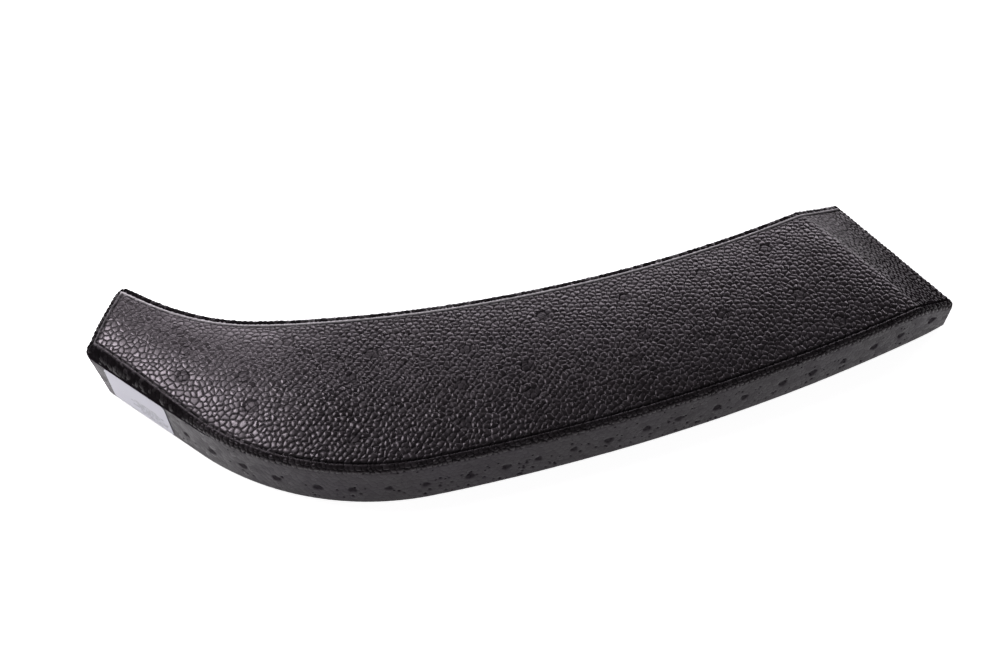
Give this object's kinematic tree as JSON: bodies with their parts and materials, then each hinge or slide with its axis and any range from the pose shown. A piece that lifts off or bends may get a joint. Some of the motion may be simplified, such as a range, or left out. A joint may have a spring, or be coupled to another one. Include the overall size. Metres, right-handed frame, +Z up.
{
  "type": "foam impact pad",
  "caption": "Curved, tapering black bead-foam pad that absorbs impact energy, with a crowned top face, a bevelled wide end and a small paper label on its long side wall",
  "frame": {"origin": "under the middle of the pad's bounding box, on the flat underside", "axes": "+X along the length towards the wide bevelled end, +Y towards the hollow inner wall, +Z up through the crowned top face"},
  "size_m": [0.5625, 0.2285, 0.0462],
  "materials": {
    "bead_foam": "satin",
    "label_paper": "satin"
  },
  "bodies": {
    "root": {"foam_pad": "bead_foam", "label": "label_paper"}
  },
  "joints": []
}
